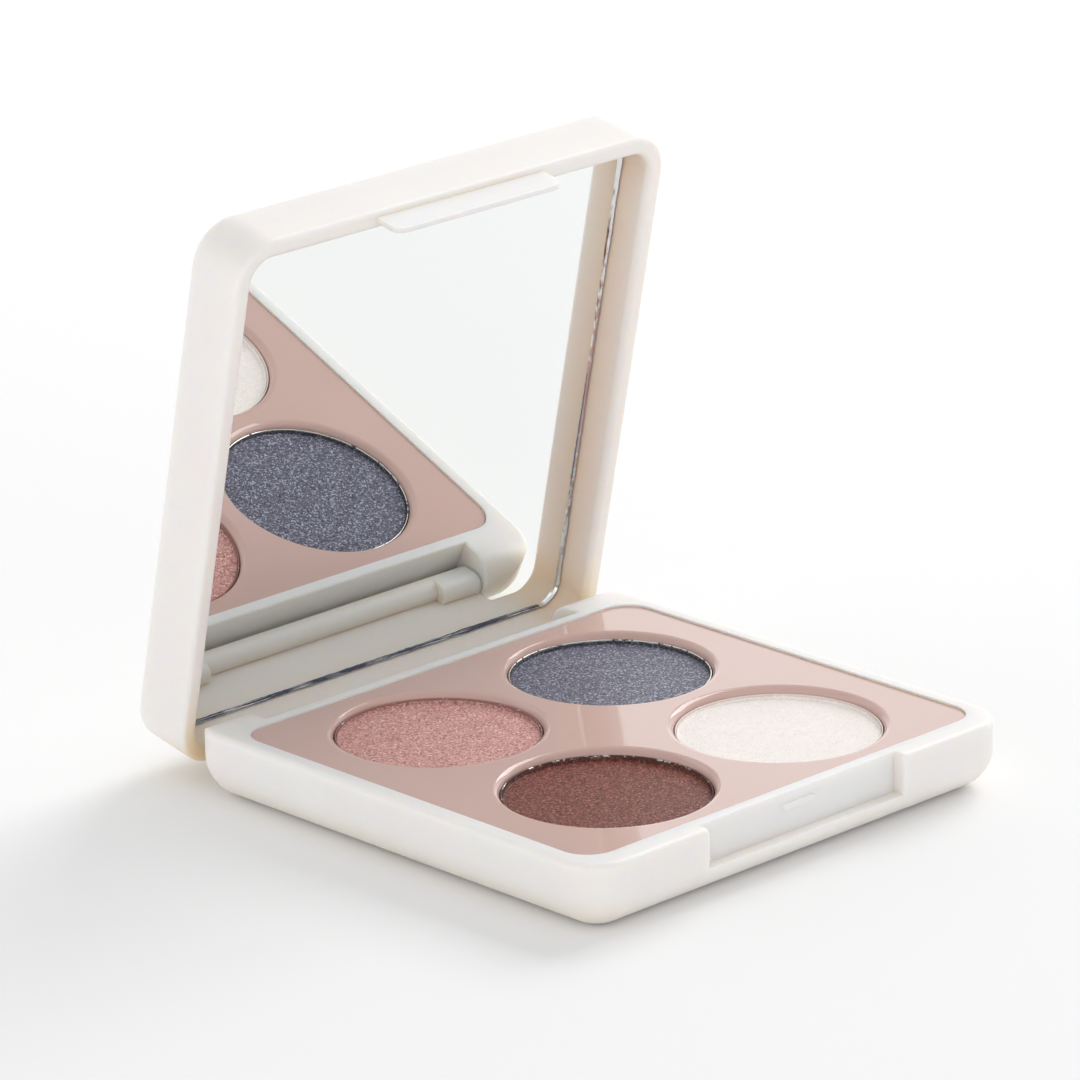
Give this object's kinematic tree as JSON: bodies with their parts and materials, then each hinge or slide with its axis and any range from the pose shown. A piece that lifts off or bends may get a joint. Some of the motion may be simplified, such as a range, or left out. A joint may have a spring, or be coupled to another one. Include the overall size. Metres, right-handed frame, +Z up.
{
  "type": "eyeshadow palette",
  "caption": "Square hinged eyeshadow palette, open, with a mirror in the lid and round pans of pressed powder set in a glossy tray.",
  "frame": {"origin": "middle of the base's flat underside, on the table", "axes": "+X to the user's right, +Y from the finger recess back towards the hinge, +Z up"},
  "size_m": [0.0734, 0.0838, 0.0759],
  "materials": {
    "shell_plastic": "satin warm off-white, slightly translucent",
    "tray_plastic": "glossy dusty rose",
    "mirror": "silvered float glass",
    "tape": "white foam tape",
    "glue": "clear hot-melt glue",
    "pan_metal": "bright drawn sheet",
    "pin_steel": "ground steel",
    "powder_slate": "pressed blue-grey powder with fine shimmer",
    "powder_rose": "pressed rose-pink powder with fine shimmer",
    "powder_burgundy": "pressed burgundy-brown powder with fine shimmer",
    "powder_ivory": "pressed ivory powder, satin"
  },
  "bodies": {
    "base": {"base_shell": "shell_plastic", "glue_dot_burgundy": "glue", "glue_dot_ivory": "glue", "glue_dot_rose": "glue", "glue_dot_slate": "glue", "hinge_pin_left": "pin_steel", "hinge_pin_right": "pin_steel", "pan_burgundy": "pan_metal", "pan_ivory": "pan_metal", "pan_rose": "pan_metal", "pan_slate": "pan_metal", "powder_burgundy": "powder_burgundy", "powder_ivory": "powder_ivory", "powder_rose": "powder_rose", "powder_slate": "powder_slate", "powder_tray": "tray_plastic"},
    "lid": {"lid_shell": "shell_plastic", "mirror_glass": "mirror", "mirror_tape": "tape"}
  },
  "joints": [
    {"name": "lid_hinge", "type": "hinge", "parent": "base", "child": "lid", "pos_m": [0, 0.03333, 0.0048], "axis": [1, 0, 0], "range_deg": [-17, 77.7]}
  ]
}
